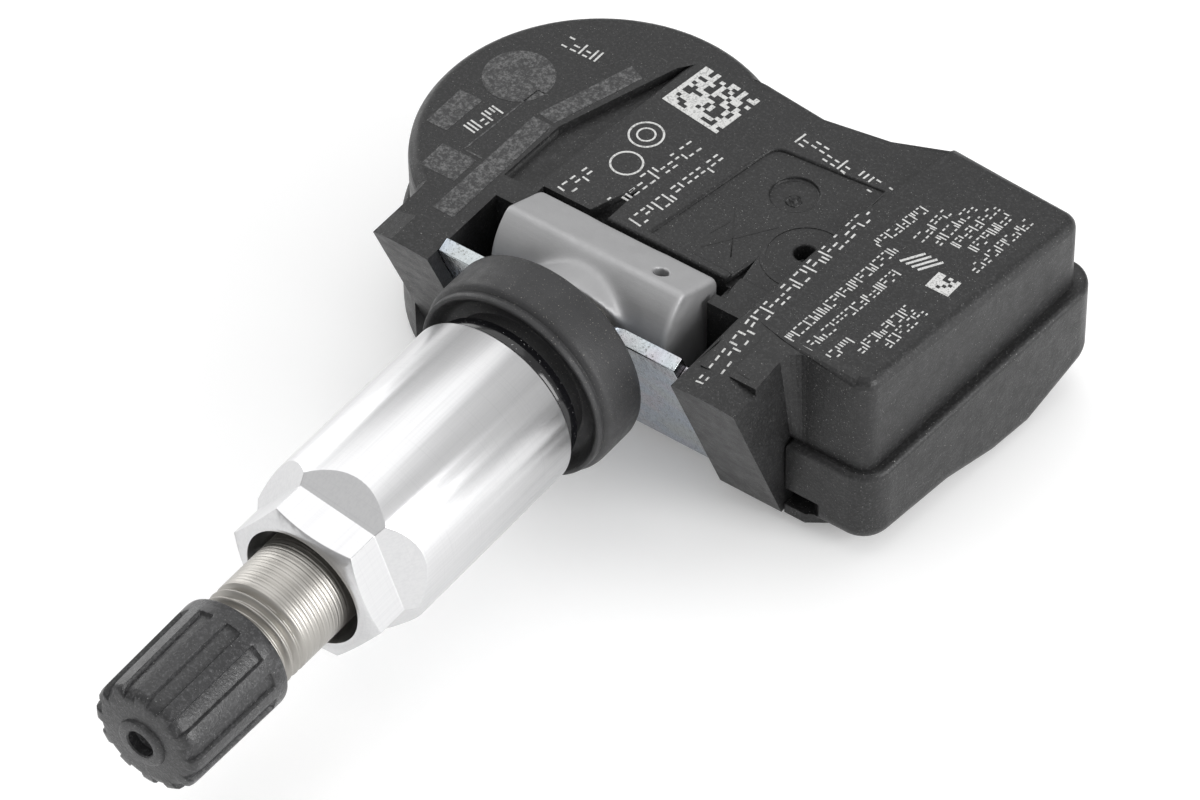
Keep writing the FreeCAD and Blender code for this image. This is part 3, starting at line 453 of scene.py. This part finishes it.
def beside_lug(point):
    """Whether a point is on the upright corner between the right lug and the box."""
    return abs(point.x - 16.1) < 0.02 and abs(point.y - BOX_FRONT) < 0.02


def on_lug(point):
    """Whether a point is on one of the fork's two lugs."""
    return point.y < LUG_BACK and not -9.9 < point.x < 10.4


def make_cover():
    return rounded_copy("cover_moulded", "housing_cover", "housing", "housing_plastic", [
        (1.3, 5, 40, ends(beside_lug)),
        (0.9, 4, 40, ends(lambda p: on_box_top(p) and not on_box_left(p))),
        (0.45, 4, 40, ends(on_box_left)),
        (0.9, 4, 40, ends(on_lobe_rim)),
        (0.55, 3, 40, ends(on_back_rim)),
        (0.7, 4, 40, ends(on_groove)),
        (0.8, 5, 40, ends(at_plateau_corner)),
        (0.22, 3, 40, ends(on_plateau)),
        (0.13, 2, 60, ends(on_dish)),
        (0.2, 3, 60, ends(on_port)),
        (0.25, 3, 40, ends(on_notch)),
        (0.1, 2, 30, ends(on_lug)),
    ], crisp=ends(on_lug))


def on_flange(point):
    """Whether a point is on the base's upper rim, outside the cover."""
    return point.z > -4.6 and point.y > 10.0 and (
        point.x > 16.0 or point.y > 30.0
        or from_above(point, *LOBE_CENTRE) > LOBE_RADIUS + 0.5)


def make_base():
    return rounded_copy("base_moulded", "housing_base", "housing", "housing_plastic", [
        (0.45, 3, 40, ends(on_flange)),
        (0.12, 2, 40, ends(lambda p: p.y < 13.0 and p.x > 16.0)),
    ])


HEAD_HALF, HEAD_FLAT_LOW = 7.65, 5.0
VENT_PLACE, VENT_CLEAR = 4.74, 0.7
BOSS_WIDE, BOSS_TAPER, BOSS_FRONT = 5.3, 0.2, 5.0
BLEND_INSIDE, BLEND_OUTSIDE, BLEND_ROUNDS = 0.7, 1.5, 45
CAST_VOXEL = 0.13


def near_boss(point):
    """How much a point of the head belongs to the blend round its boss, 0 to 1.

    The boss is a cone on the valve's axis, and only its upper side shows."""
    if point.y < BOSS_FRONT + 0.5 or point.z < 0.5:
        return 0.0
    out = math.hypot(point.x, point.z) - (BOSS_WIDE - BOSS_TAPER * (point.y - BOSS_FRONT))
    span = BLEND_OUTSIDE if out > 0 else BLEND_INSIDE
    return max(0.0, min(1.0, 2.0 * (1.0 - abs(out) / span)))


def run_together(item):
    """Remeshes the head finely, and lets its boss run into its faces like a casting."""
    item.modifiers.clear()
    remesh = item.modifiers.new("cast", "REMESH")
    remesh.mode, remesh.voxel_size = "VOXEL", CAST_VOXEL * MM
    whole = item.evaluated_get(bpy.context.evaluated_depsgraph_get())
    mesh = bpy.data.meshes.new_from_object(whole)
    item.modifiers.clear()
    work = bmesh.new()
    work.from_mesh(mesh)
    pull = {}
    for vertex in work.verts:
        weight = near_boss(vertex.co / MM)
        if weight > 0:
            pull[vertex] = weight
    for _ in range(BLEND_ROUNDS):
        moved = {}
        for vertex, weight in pull.items():
            near = [edge.other_vert(vertex).co for edge in vertex.link_edges]
            middle = sum(near, Vector()) / len(near)
            moved[vertex] = vertex.co.lerp(middle, 0.5 * weight)
        for vertex, place in moved.items():
            vertex.co = place
    for face in work.faces:
        face.smooth = True
        face.material_index = 0
    work.to_mesh(mesh)
    work.free()
    mesh.materials.clear()
    mesh.materials.append(LOOKS["head_metal"])
    item.data = mesh


def make_head():
    head = rounded_copy("head_cast", "valve_head", "valve", "head_metal", [
        (0.35, 3, 40, ends(lambda p: abs(abs(p.x) - HEAD_HALF) < 0.02)),
        (0.4, 3, 20, ends(lambda p: p.z > HEAD_FLAT_LOW and abs(p.x) < HEAD_HALF - 0.3
                          and abs(p.x - VENT_PLACE) > VENT_CLEAR)),
    ])
    run_together(head)


def make_plate():
    return rounded_copy("plate_stamped", "retaining_plate", "housing", "plate_steel", [
        (0.09, 2, 40, lambda first, second: True),
    ])


# ---------------------------------------------------------------- turned pieces

SLIVER = 0.0002


def new_piece(name, vertices, faces, slot, look=None, smooth=True):
    """A piece from vertices in millimetres, with its faces turned outwards."""
    mesh = bpy.data.meshes.new(name)
    mesh.from_pydata([Vector(v) * MM for v in vertices], [], faces)
    work = bmesh.new()
    work.from_mesh(mesh)
    bmesh.ops.remove_doubles(work, verts=work.verts, dist=TRIM_GAP * MM)
    bmesh.ops.dissolve_degenerate(work, edges=work.edges, dist=SLIVER * MM)
    bmesh.ops.recalc_face_normals(work, faces=work.faces)
    work.to_mesh(mesh)
    work.free()
    item = bpy.data.objects.new(name, mesh)
    bpy.context.scene.collection.objects.link(item)
    mesh.materials.append(look or LOOKS[slot])
    for face in mesh.polygons:
        face.use_smooth = smooth
    return item


def ring_faces(rings, count):
    """Quads that join a stack of closed rings of that many vertices."""
    faces = []
    for i in range(rings - 1):
        for j in range(count):
            k = (j + 1) % count
            faces.append((i * count + j, i * count + k, (i + 1) * count + k,
                          (i + 1) * count + j))
    return faces


def wound(name, rows, angles, place, slot):
    """A surface round the valve's axis: place(row, angle) gives (radius, along)."""
    vertices = []
    for row in rows:
        for angle in angles:
            radius, along = place(row, angle)
            vertices.append((radius * math.cos(angle), along, radius * math.sin(angle)))
    return new_piece(name, vertices, ring_faces(len(rows), len(angles)), slot)


def even_angles(count):
    return [2 * math.pi * i / count for i in range(count)]


def spaced(start, end, step):
    """Even places from start to end, both included, about a step apart."""
    count = max(1, round(abs(end - start) / step))
    return [start + (end - start) * i / count for i in range(count + 1)]


def sharp_by_angle(item, degrees):
    """Marks edges sharper than the angle, so flats stay flat under smooth shading."""
    item.data.set_sharp_from_angle(angle=math.radians(degrees))


THREAD_RADIUS = 3.85
THREAD_PITCH = 0.794
THREAD_DEPTH = 0.42
THREAD_END, THREAD_FADE = -27.5, 0.5
THREAD_SLOPE, THREAD_CREST = 1.25, 0.12
WORN = 0.03
TIP_CHAMFER, TIP_SLOPE = 0.5, 0.85
# (height, length along the stem, turns of the ripple round it)
RIPPLES = ((0.007, 0.31, 1), (0.005, 0.19, -1))
STEM_TIP, STEM_TAIL = -38.0, 13.0
STEM_STEP, STEM_SKIN_END, STEM_PLAIN = 0.05, -18.0, -17.0
STEM_BORE, AIR_BORE, STEM_NECK = 2.67, 1.2, 3.3
BORE_END, AIR_END, NECK_START = STEM_TIP + 17, STEM_TIP + 21, 4.66


def thread_dip(along, angle, depth):
    """How far a right-hand thread's surface lies under its crest."""
    phase = (along / THREAD_PITCH + angle / (2 * math.pi)) % 1.0
    return depth * min(1.0, max(0.0, THREAD_SLOPE * abs(2 * phase - 1) - THREAD_CREST))


def stem_radius(along, angle):
    """The stem's outside: its thread, the chamfered tip, and a rippled turned part."""
    fade = min(1.0, max(0.0, (THREAD_END - along) / THREAD_FADE))
    coarse = thread_dip(along, angle, THREAD_DEPTH * fade)
    tip = max(0.0, STEM_TIP + TIP_CHAMFER - along) * TIP_SLOPE
    ripple = sum(height * math.sin(2 * math.pi * along / length + turns * angle)
                 for height, length, turns in RIPPLES)
    return THREAD_RADIUS - max(coarse, tip) - WORN + ripple * (1 - fade)


def make_stem():
    # (radius, along); a radius of None follows the threaded skin
    rows = [(AIR_BORE, STEM_TAIL), (AIR_BORE, AIR_END), (STEM_BORE, BORE_END),
            (STEM_BORE, STEM_TIP)]
    rows += [(None, along) for along in spaced(STEM_TIP, STEM_SKIN_END, STEM_STEP)]
    rows += [(THREAD_RADIUS, STEM_PLAIN), (THREAD_RADIUS, NECK_START),
             (STEM_NECK, NECK_START), (STEM_NECK, STEM_TAIL), (AIR_BORE, STEM_TAIL)]

    def place(row, angle):
        radius, along = row
        return (stem_radius(along, angle) if radius is None else radius), along

    stem = wound("stem_turned", rows, even_angles(96), place, "stem_metal")
    sharp_by_angle(stem, 50)
    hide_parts("valve_stem")
    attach(stem, "valve")


RIB_COUNT = 12
RIB_HALF_ANGLE, RIB_EDGE_ANGLE = math.radians(7.2), math.radians(1.0)


def rib_angles():
    """Angles that put a vertex on every edge of the ribs and the flutes between them."""
    offsets = [-13.5, -11.5, -9.2, -8.1, -7.7, -7.0, -6.2, -4.0, 0.0,
               4.0, 6.2, 7.0, 7.7, 8.1, 9.2, 11.5, 13.5, 15.0]
    pitch = 360.0 / RIB_COUNT
    return [math.radians(k * pitch + offset) for k in range(RIB_COUNT) for offset in offsets]


def make_cap():
    nose, rear, floor = -40.0, -30.2, -38.9
    # (along, radius on a rib, radius in a flute)
    rows = [(nose + 0.6, 0.0, 0.0), (nose + 0.6, 0.85, 0.85), (nose + 0.5, 1.0, 1.0),
            (nose - 0.2, 1.05, 1.05), (nose - 0.3, 1.15, 1.15), (nose - 0.3, 1.7, 1.7),
            (nose - 0.22, 1.85, 1.85), (nose - 0.02, 1.92, 1.92), (nose, 2.05, 2.05),
            (nose + 0.02, 3.1, 3.1), (nose + 0.06, 3.4, 3.36), (nose + 0.1, 3.75, 3.55),
            (nose + 0.2, 4.05, 3.7), (nose + 0.4, 4.25, 3.85), (nose + 0.75, 4.35, 3.98),
            (nose + 1.3, 4.37, 4.05), (nose + 2.5, 4.39, 4.07), (rear - 1.9, 4.48, 4.17),
            (rear - 1.55, 4.49, 4.2), (rear - 1.38, 4.49, 4.3), (rear - 1.3, 4.49, 4.46),
            (rear - 1.2, 4.49, 4.49), (rear - 0.35, 4.5, 4.5), (rear - 0.12, 4.46, 4.46),
            (rear, 4.32, 4.32), (rear, 4.02, 4.02), (rear - 0.12, 3.92, 3.92),
            (floor, 3.92, 3.92), (floor, 0.0, 0.0)]

    def place(row, angle):
        along, on_rib, in_flute = row
        pitch = 2 * math.pi / RIB_COUNT
        offset = abs((angle + pitch / 2) % pitch - pitch / 2)
        share = (RIB_HALF_ANGLE + RIB_EDGE_ANGLE / 2 - offset) / RIB_EDGE_ANGLE
        share = min(1.0, max(0.0, share))
        return in_flute + (on_rib - in_flute) * share, along

    cap = wound("cap_ribbed", rows, rib_angles(), place, "cap_plastic")
    sharp_by_angle(cap, 40)
    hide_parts("valve_cap")
    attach(cap, "cap")


GROMMET_STEPS = 180
LIP_SEAM, LIP_ROUGH = (0.4, 0.8), 0.015


def make_grommet():
    # (along, radius), from the bore round the lip to the back
    profile = [(4.66, 3.86), (-0.3, 3.86), (-0.3, 5.35), (-0.15, 5.5), (1.0, 5.5),
               (1.09, 5.6), (1.09, 6.4), (1.02, 6.6), (0.72, 6.86), (0.3, 7.14),
               (0.06, 7.32), (0.0, 7.4), (0.0, 7.6), (0.06, 7.66), (0.36, 7.69),
               (0.5, 7.7), (0.58, 7.63), (0.66, 7.64), (0.72, 7.74), (0.85, 7.9),
               (1.05, 8.02), (1.4, 8.08), (4.2, 8.08), (4.5, 8.0), (4.62, 7.86),
               (4.66, 7.7), (4.66, 3.86)]
    wave = random.Random(5)
    wobble = [wave.uniform(-1, 1) for _ in range(GROMMET_STEPS)]

    def place(row, angle):
        along, radius = row
        index = int(angle / (2 * math.pi) * GROMMET_STEPS) % GROMMET_STEPS
        rough = LIP_ROUGH * wobble[index] if LIP_SEAM[0] < along < LIP_SEAM[1] else 0.0
        return radius - abs(rough), along

    grommet = wound("grommet_moulded", profile, even_angles(GROMMET_STEPS), place,
                    "seal_rubber")
    sharp_by_angle(grommet, 50)
    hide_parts("rim_grommet")
    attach(grommet, "valve")


def make_spring():
    """The core's coil spring, copied with a mesh of its own; the real spring shortens as the
    pin is pressed in.
    """
    spring = rounded_copy("core_spring_coil", "core_spring", "valve", "spring_steel", [])
    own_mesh(spring)


# ---------------------------------------------------------------- marks on the housing

MARK_HEIGHT, MARK_ROOT = 0.02, 0.05
RAY_START = 20.0
STEP_LIMIT = 0.12
# Shares of a row's height: how strokes are cut short, how far apart they stand, and
# where the flat ones lie. They form no letters.
UPRIGHT_SHARE, FILLED_SHARE = 0.62, 0.55
STROKE_LOWS, STROKE_HIGHS = (0.0, 0.0, 0.45), (1.0, 1.0, 0.55)
UPRIGHT_GAP, FLAT_REACH, FLAT_GAP = (0.24, 0.42), (0.28, 0.45), 0.26
FLAT_LEVELS, FLATS_AT_ONCE = (0.06, 0.5, 0.94), 2
SHORTEST, ROW_MARGIN = 0.2, 0.6


class Draped:
    """Closed slivers laid on the cover's top by looking straight down at it."""

    def __init__(self, cover, lift=MARK_HEIGHT):
        self.lift = lift
        mesh = bpy.data.meshes.new_from_object(
            cover.evaluated_get(bpy.context.evaluated_depsgraph_get()))
        self.surface = BVHTree.FromPolygons([v.co for v in mesh.vertices],
                                            [list(p.vertices) for p in mesh.polygons])
        bpy.data.meshes.remove(mesh)
        self.vertices, self.faces = [], []

    def height(self, point):
        start = Vector((point.x, point.y, RAY_START)) * MM
        place = self.surface.ray_cast(start, Vector((0, 0, -1)))[0]
        return None if place is None else place.z / MM

    def outline(self, points):
        """One closed sliver over a convex outline; none where the surface steps."""
        heights = [self.height(point) for point in points]
        if None in heights or max(heights) - min(heights) > STEP_LIMIT:
            return
        base, count = len(self.vertices), len(points)
        for lift in (self.lift, -MARK_ROOT):
            self.vertices += [(p.x, p.y, h + lift) for p, h in zip(points, heights)]
        self.faces.append(tuple(range(base, base + count)))
        self.faces.append(tuple(reversed(range(base + count, base + 2 * count))))
        for i in range(count):
            j = (i + 1) % count
            self.faces.append((base + i, base + count + i, base + count + j, base + j))

    def bar(self, start, end, width):
        run = (end - start).normalized()
        side = Vector((-run.y, run.x)) * (width / 2)
        self.outline([start - side, end - side, end + side, start + side])

    def ring(self, centre, radius, width, count=28, below=None):
        """A ring of slivers, left out where the surface is not below that height."""
        def point(i, reach):
            angle = 2 * math.pi * i / count
            return centre + Vector((math.cos(angle), math.sin(angle))) * reach

        for i in range(count):
            if below is None or self.height(point(i, radius + width)) < below:
                self.outline([point(i, radius), point(i + 1, radius),
                              point(i + 1, radius + width), point(i, radius + width)])

    def row(self, start, end, tall, stroke, seed):
        """A row of separate plain strokes, across it and along it, in random order."""
        draw = random.Random(seed)
        start, end = Vector(start), Vector(end)
        run = (end - start).normalized()
        side = Vector((-run.y, run.x))
        at, length = 0.0, (end - start).length
        while at < length - tall * ROW_MARGIN:
            low = draw.choice(STROKE_LOWS) * tall
            high = draw.choice(STROKE_HIGHS) * tall
            here = start + run * at
            if draw.random() < UPRIGHT_SHARE and high > low + SHORTEST * tall:
                self.bar(here + side * low, here + side * high, stroke)
                at += tall * draw.uniform(*UPRIGHT_GAP)
            else:
                reach = tall * draw.uniform(*FLAT_REACH)
                for level in draw.sample(FLAT_LEVELS, FLATS_AT_ONCE):
                    self.bar(here + side * tall * level,
                             here + side * tall * level + run * reach, stroke)
                at += reach + tall * FLAT_GAP

    def field(self, corner, along, across, count, seed):
        """A square field of cells: two sides are solid, the rest is filled at random."""
        draw = random.Random(seed)
        step, over = Vector(along) / count, Vector(across) / count
        for i in range(count):
            for j in range(count):
                if draw.random() < FILLED_SHARE or i == 0 or j == 0:
                    low = Vector(corner) + step * i + over * j
                    self.outline([low, low + step, low + step + over, low + over])

    def finish(self, name, look):
        """Makes the slivers one piece, on the housing."""
        piece = new_piece(name, self.vertices, self.faces, "housing_plastic", look, False)
        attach(piece, "housing")


SCRATCH_WIDTH, FRAME_WIDTH = 0.1, 0.12
DISC_CENTRE, DISC_RADIUS = Vector((-16.4, 23.0)), 2.7


def make_marks(cover):
    """Rows of plain strokes, a code field, rings and bars, then scratches and etching."""
    ink = Draped(cover)
    # height of a row and width of its strokes
    large, small = (1.15, 0.15), (0.8, 0.12)
    rows = [
        ((-6.3, 14.0), (-5.6, 18.4), large), ((-2.9, 13.8), (-1.1, 25.3), large),
        ((-0.1, 15.6), (1.2, 25.2), large), ((12.6, 29.0), (3.0, 30.2), large),
        ((-15.4, 16.4), (-14.8, 20.2), large), ((-15.9, 27.4), (-11.9, 27.4), large),
        ((13.2, 5.4), (13.2, 26.4), large), ((15.9, 11.6), (16.6, 23.9), small),
        ((17.4, 11.2), (18.1, 22.0), small), ((15.3, 23.0), (16.0, 28.6), small),
        ((19.2, 11.8), (19.4, 14.6), small), ((20.4, 13.4), (20.8, 19.4), small),
        ((21.6, 15.0), (21.8, 20.0), small), ((17.4, 25.1), (17.4, 29.2), small),
        ((18.6, 25.6), (18.6, 30.8), small), ((19.8, 26.2), (19.9, 31.7), small),
        ((21.0, 26.6), (21.1, 31.6), small), ((22.2, 24.8), (22.6, 31.9), small),
    ]
    for seed, (start, end, size) in enumerate(rows):
        ink.row(start, end, *size, seed)
    ink.field((-6.6, 27.1), (5.3, -0.7), (0.6, 4.6), 14, 99)
    ink.ring(Vector((-5.3, 23.4)), 1.2, 0.16)
    ink.ring(Vector((-5.3, 23.4)), 0.6, 0.14)
    ink.ring(Vector((-4.7, 20.2)), 1.1, 0.16)
    for i in range(4):
        ink.bar(Vector((17.2 + 0.5 * i, 22.6)), Vector((18.2 + 0.5 * i, 24.3)), 0.2)
    ink.field((20.0, 21.6), (1.9, 0.0), (0.0, 1.7), 6, 7)
    ink.finish("housing_marks", MARK_LOOK)
    scratches = Draped(cover)
    for start, end in (((4.38, 16.6), (7.7, 21.4)), ((3.9, 21.5), (6.7, 17.0)),
                       ((6.7, 17.0), (5.6, 18.9)), ((4.1, 18.1), (4.6, 19.9)),
                       ((14.2, 7.4), (15.2, 7.3)), ((13.4, 5.6), (13.9, 7.2))):
        scratches.bar(Vector(start), Vector(end), SCRATCH_WIDTH)
    scratches.finish("housing_scratches", SCRATCH_LOOK)
    etched = Draped(cover)
    etched.outline([DISC_CENTRE + Vector((math.cos(angle), math.sin(angle))) * DISC_RADIUS
                    for angle in even_angles(40)])
    for outline in ([(-13.2, 8.6), (-11.4, 8.6), (-11.35, 20.2), (-13.0, 20.2)],
                    [(-12.9, 20.7), (-11.4, 20.5), (-9.0, 28.0), (-10.4, 28.6)],
                    [(-16.6, 11.6), (-13.6, 11.6), (-13.6, 14.2), (-16.6, 14.2)],
                    [(-19.0, 15.4), (-17.2, 15.4), (-17.0, 19.4), (-19.0, 19.4)]):
        etched.outline([Vector(point) for point in outline])
    frame_corners = [Vector(corner) for corner in (
        (-13.4, 14.6), (-15.0, 14.6), (-14.4, 22.6), (-13.4, 22.6))]
    for start, end in zip(frame_corners, frame_corners[1:]):
        etched.bar(start, end, FRAME_WIDTH)
    etched.finish("housing_etching", PATCH_LOOK)


def make_top_details(cover):
    """The faint ring round the pressure port, only where it lies on the plateau."""
    ring = Draped(cover, lift=0.05)
    ring.ring(Vector((11.0, 20.1)), 2.9, 0.4, count=60, below=DECK_TOP - 0.1)
    ring.finish("housing_rings", LOOKS["housing_plastic"])


DISH_FLOOR = DECK_TOP - 0.55
STUB_CENTRE, STUB_STEPS, STUB_ROUGH = Vector((6.88, 24.4)), 28, 0.12


def make_gate_stub():
    """The torn stub of the moulding gate in its dish."""
    # (radius, height over the dish)
    profile = [(0.0, -0.1), (0.62, -0.1), (0.6, 0.02), (0.5, 0.1), (0.36, 0.14), (0.3, 0.3),
               (0.2, 0.36), (0.12, 0.24), (0.0, 0.22)]
    wave = random.Random(11)
    vertices = []
    for radius, height in profile:
        for angle in even_angles(STUB_STEPS):
            reach = radius * (1 + wave.uniform(-STUB_ROUGH, STUB_ROUGH))
            vertices.append((STUB_CENTRE.x + reach * math.cos(angle),
                             STUB_CENTRE.y + reach * math.sin(angle), DISH_FLOOR + height))
    stub = new_piece("housing_gate_stub", vertices, ring_faces(len(profile), STUB_STEPS),
                     "housing_plastic")
    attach(stub, "housing")


# ---------------------------------------------------------------- set, light, camera

# The floor's size and its gap under the housing are in metres.
FLOOR_SIZE, FLOOR_GAP = 12.0, 0.0002
FLOOR_GLOW = 0.22
FOCAL_LENGTH, SENSOR_WIDTH = 180.0, 36.0
CAMERA_PLACE = Vector((180.465, -226.814, 298.773)) * MM
CAMERA_TURN = Euler([math.radians(a) for a in (43.975, 0.793, 36.448)])
LOOK_AT = Vector((2.0, 2.0, -1.0)) * MM


def make_floor():
    low, _ = node_box("housing_base")
    half = FLOOR_SIZE / 2
    mesh = bpy.data.meshes.new("floor")
    height = low.z * MM - FLOOR_GAP
    mesh.from_pydata([(-half, -half, height), (half, -half, height), (half, half, height),
                      (-half, half, height)], [], [(0, 1, 2, 3)])
    floor = bpy.data.objects.new("floor", mesh)
    bpy.context.scene.collection.objects.link(floor)
    pale = bpy.data.materials.new("pale_floor")
    pale.use_nodes = True
    shader = pale.node_tree.nodes["Principled BSDF"]
    shader.inputs["Base Color"].default_value = (0.85, 0.85, 0.85, 1)
    shader.inputs["Emission Color"].default_value = (1, 1, 1, 1)
    shader.inputs["Emission Strength"].default_value = FLOOR_GLOW
    shader.inputs["Roughness"].default_value = 0.9
    shader.inputs["Specular IOR Level"].default_value = 0.1
    mesh.materials.append(pale)


def soft_box(name, place, size, power):
    """A rectangular area light at a place in millimetres, turned to the object."""
    light = bpy.data.lights.new(name, "AREA")
    light.shape = "RECTANGLE"
    light.size, light.size_y = size[0] * MM, size[1] * MM
    light.energy = power
    item = bpy.data.objects.new(name, light)
    item.location = Vector(place) * MM
    item.rotation_euler = (LOOK_AT - item.location).to_track_quat("-Z", "Y").to_euler()
    bpy.context.scene.collection.objects.link(item)


DOME_HORIZON, DOME_ZENITH, DOME_REACH = 0.36, 0.8, 0.9


def make_light():
    """A dome that is brighter overhead than at the horizon, and three soft boxes."""
    world = bpy.data.worlds.new("studio")
    bpy.context.scene.world = world
    world.use_nodes = True
    nodes, links = world.node_tree.nodes, world.node_tree.links
    background = nodes["Background"]
    background.inputs["Color"].default_value = (1, 1, 1, 1)
    place = nodes.new("ShaderNodeTexCoord")
    split = nodes.new("ShaderNodeSeparateXYZ")
    dome = nodes.new("ShaderNodeMapRange")
    dome.inputs["From Min"].default_value = 0.0
    dome.inputs["From Max"].default_value = DOME_REACH
    dome.inputs["To Min"].default_value = DOME_HORIZON
    dome.inputs["To Max"].default_value = DOME_ZENITH
    links.new(place.outputs["Generated"], split.inputs["Vector"])
    links.new(split.outputs["Z"], dome.inputs["Value"])
    links.new(dome.outputs["Result"], background.inputs["Strength"])
    soft_box("top_box", (-120, 120, 420), (460, 460), 0.6)
    soft_box("right_box", (420, 60, 160), (200, 300), 1.5)
    soft_box("left_box", (-420, 140, 130), (200, 300), 0.5)
    bpy.context.scene.view_settings.view_transform = "Standard"


def make_camera():
    data = bpy.data.cameras.new("camera")
    data.lens = FOCAL_LENGTH
    data.sensor_width = SENSOR_WIDTH
    data.clip_start = 0.01
    data.clip_end = 20.0
    camera = bpy.data.objects.new("camera", data)
    camera.location = CAMERA_PLACE
    camera.rotation_euler = CAMERA_TURN
    bpy.context.scene.collection.objects.link(camera)
    bpy.context.scene.camera = camera


make_camera()
make_light()
make_floor()
dress_cad()
make_stem()
make_cap()
make_grommet()
make_spring()
make_head()
make_plate()
make_base()
cover = make_cover()
make_marks(cover)
make_top_details(cover)
make_gate_stub()
